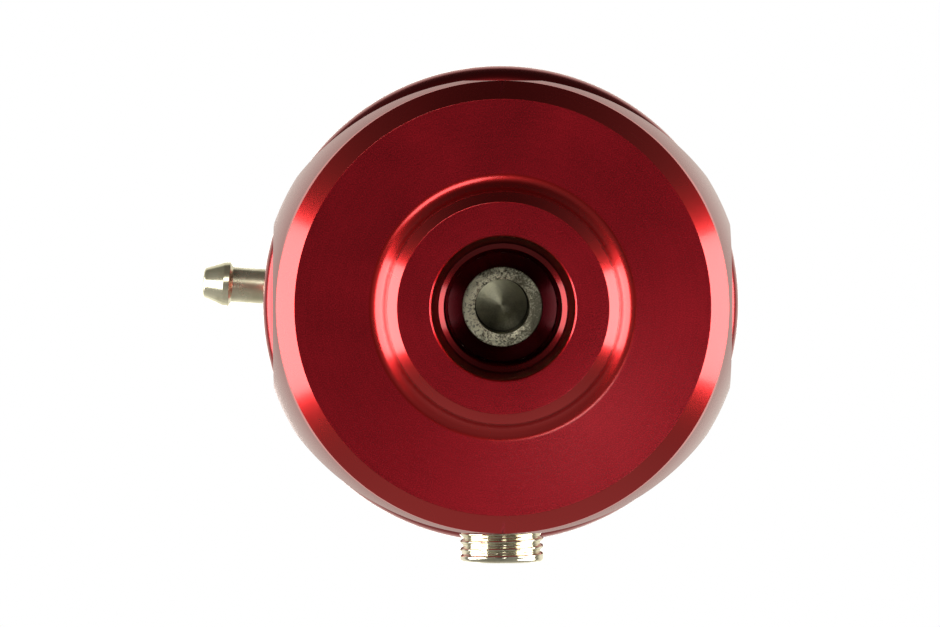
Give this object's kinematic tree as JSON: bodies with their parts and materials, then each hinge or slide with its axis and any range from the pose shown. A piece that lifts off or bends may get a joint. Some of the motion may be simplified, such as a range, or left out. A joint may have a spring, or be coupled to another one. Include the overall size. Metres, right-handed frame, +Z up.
{
  "type": "fuel pressure regulator",
  "caption": "Turned fuel pressure regulator with side inlets, a return port below, a plugged gauge port, a pressure reference nipple and a locked adjusting screw on top.",
  "frame": {"origin": "On the regulator's axis in the plane of the return boss's face, on which it stands", "axes": "+Z up along the axis towards the adjusting screw, X along the inlet ports with the reference nipple at +X, -Y towards the gauge plug"},
  "size_m": [0.0661, 0.0602, 0.0843],
  "materials": {
    "anodised_body": "satin red anodised, turned",
    "anodised_cap": "satin red anodised, turned",
    "seat_steel": "lapped steel",
    "valve_steel": "faced steel with turning marks",
    "plate": "turned",
    "steel": "zinc plated",
    "spring": "drawn spring wire",
    "ball": "polished",
    "screw": "black oxide",
    "rubber": "matt",
    "diaphragm": "fabric reinforced",
    "nickel": "nickel plated"
  },
  "bodies": {
    "housing": {"lower_body": "anodised_body", "upper_cap": "anodised_cap", "return_seat": "seat_steel", "seat_o_ring": "rubber", "diaphragm": "diaphragm", "main_spring": "spring", "adjuster_o_ring": "rubber", "cap_screws": "screw", "cap_screw_washers": "screw", "vacuum_barb": "nickel", "gauge_plug": "nickel"},
    "valve": {"valve_poppet": "valve_steel", "lower_plate": "plate", "spring_cup": "plate", "poppet_lock_washer": "steel", "poppet_nut": "steel"},
    "spring_seat": {"top_spring_seat": "plate", "thrust_ball": "ball"},
    "adjuster": {"adjusting_screw": "screw"},
    "nut_seal": {"seal_washer": "rubber"},
    "nut": {"lock_nut": "steel"}
  },
  "joints": [
    {"name": "valve_lift", "type": "slide", "parent": "housing", "child": "valve", "axis": [0, 0, 1], "range_m": [0, 0.0012], "stiffness_N_per_m": 21500, "springref_m": -0.0099, "deforming": ["main_spring", "diaphragm"]},
    {"name": "adjuster_travel", "type": "slide", "parent": "housing", "child": "spring_seat", "axis": [0, 0, 1], "range_m": [-0.00301, 0.00301], "deforming": ["main_spring"]},
    {"name": "adjuster_turn", "type": "hinge", "parent": "spring_seat", "child": "adjuster", "pos_m": [0, 0, 0.07], "axis": [0, 0, 1], "range_deg": [-1080, 1080]},
    {"name": "lock_nut_lift", "type": "slide", "parent": "housing", "child": "nut_seal", "axis": [0, 0, 1], "range_m": [0, 0.00301]},
    {"name": "lock_nut_turn", "type": "hinge", "parent": "nut_seal", "child": "nut", "pos_m": [0, 0, 0.073], "axis": [0, 0, 1], "range_deg": [0, 1080]}
  ],
  "couplings": [
    {"joint": "adjuster_travel", "follows": "adjuster_turn", "m_per_rad": 0.00015915},
    {"joint": "lock_nut_lift", "follows": "lock_nut_turn", "m_per_rad": 0.00015915}
  ]
}
